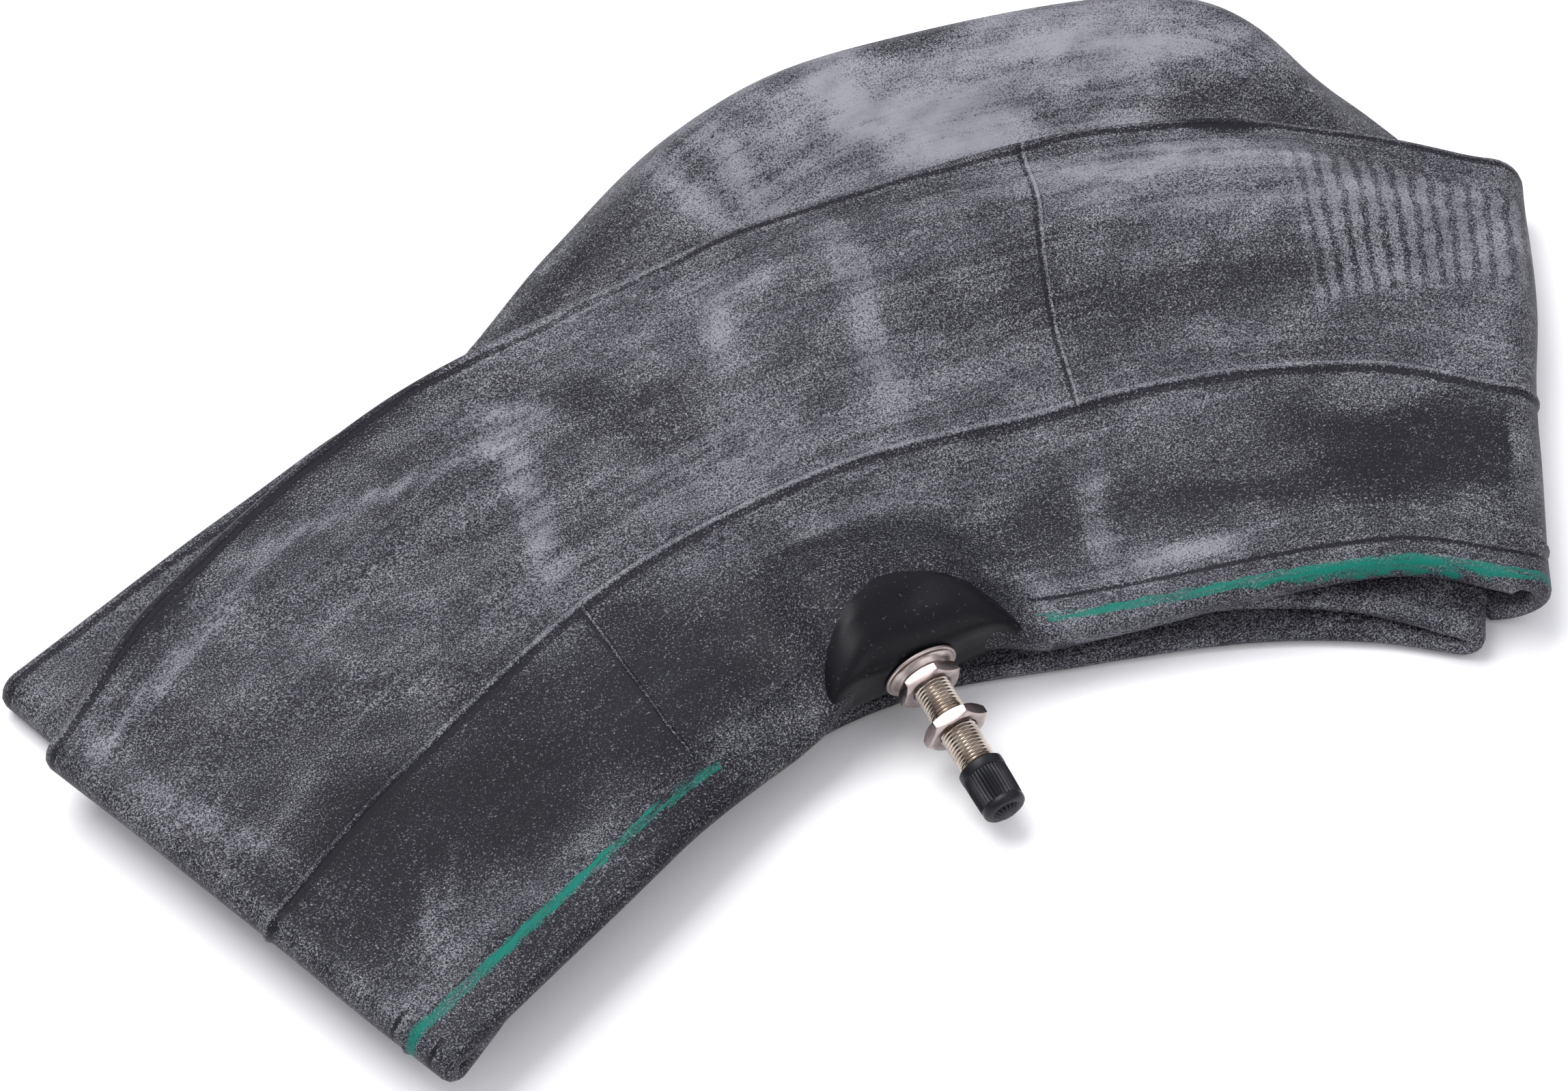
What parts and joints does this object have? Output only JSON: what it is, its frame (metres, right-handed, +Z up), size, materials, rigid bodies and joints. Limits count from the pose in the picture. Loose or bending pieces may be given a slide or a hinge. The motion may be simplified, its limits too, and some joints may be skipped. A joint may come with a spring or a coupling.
{
  "type": "bicycle inner tube",
  "caption": "Deflated butyl inner tube folded into a flat four-layer pack, with a threaded metal valve, domed washer, hex nuts and dust cap.",
  "frame": {"origin": "on the table under the middle of the folded pack", "axes": "+X along the pack from its left fold to its right fold, +Y towards the outside of the curve, +Z up; the valve points along -Y and droops 11 degrees"},
  "size_m": [0.3403, 0.208, 0.0262],
  "materials": {
    "butyl_rubber": "matt black butyl dusted with talc, with a painted green stripe",
    "pad_rubber": "smooth moulded black rubber",
    "plated_brass": "bright nickel plate over brass",
    "cap_plastic": "satin black moulded plastic",
    "seal_rubber": "matt black seal rubber",
    "core_brass": "plain machined brass",
    "spring_steel": "drawn stainless spring wire"
  },
  "bodies": {
    "tube": {"tube_casing": "butyl_rubber", "valve_base_pad": "pad_rubber", "valve_stem": "plated_brass", "core_plug": "core_brass", "core_seal_ring": "seal_rubber", "core_barrel": "core_brass", "core_spring": "spring_steel"},
    "washer": {"rim_washer": "plated_brass"},
    "base_nut": {"base_nut": "plated_brass"},
    "rim_nut": {"rim_nut": "plated_brass"},
    "core_valve": {"core_pin": "core_brass", "core_cup": "core_brass", "core_cup_seal": "seal_rubber"},
    "cap_seal": {"cap_seal": "seal_rubber"},
    "cap": {"dust_cap": "cap_plastic"}
  },
  "joints": [
    {"name": "washer_travel", "type": "slide", "parent": "tube", "child": "washer", "axis": [0, -0.9816, -0.1908], "range_m": [0, 0.0024]},
    {"name": "base_nut_turn", "type": "hinge", "parent": "washer", "child": "base_nut", "pos_m": [-0.01185, -0.05975, 0.014], "axis": [0, -0.9816, -0.1908], "range_deg": [0, 1080]},
    {"name": "rim_nut_travel", "type": "slide", "parent": "tube", "child": "rim_nut", "axis": [0, -0.9816, -0.1908], "range_m": [-0.004, 0.006]},
    {"name": "cap_travel", "type": "slide", "parent": "tube", "child": "cap_seal", "axis": [0, -0.9816, -0.1908], "range_m": [0, 0.0112]},
    {"name": "cap_turn", "type": "hinge", "parent": "cap_seal", "child": "cap", "pos_m": [-0.01185, -0.05975, 0.014], "axis": [0, -0.9816, -0.1908], "range_deg": [0, 5040]},
    {"name": "core_pin_press", "type": "slide", "parent": "tube", "child": "core_valve", "axis": [0, 0.9816, 0.1908], "range_m": [0, 0.0011], "stiffness_N_per_m": 900, "springref_m": -0.001, "deforming": ["core_spring"]}
  ],
  "couplings": [
    {"joint": "washer_travel", "follows": "base_nut_turn", "m_per_rad": 0.00012637},
    {"joint": "cap_travel", "follows": "cap_turn", "m_per_rad": 0.00012637}
  ]
}
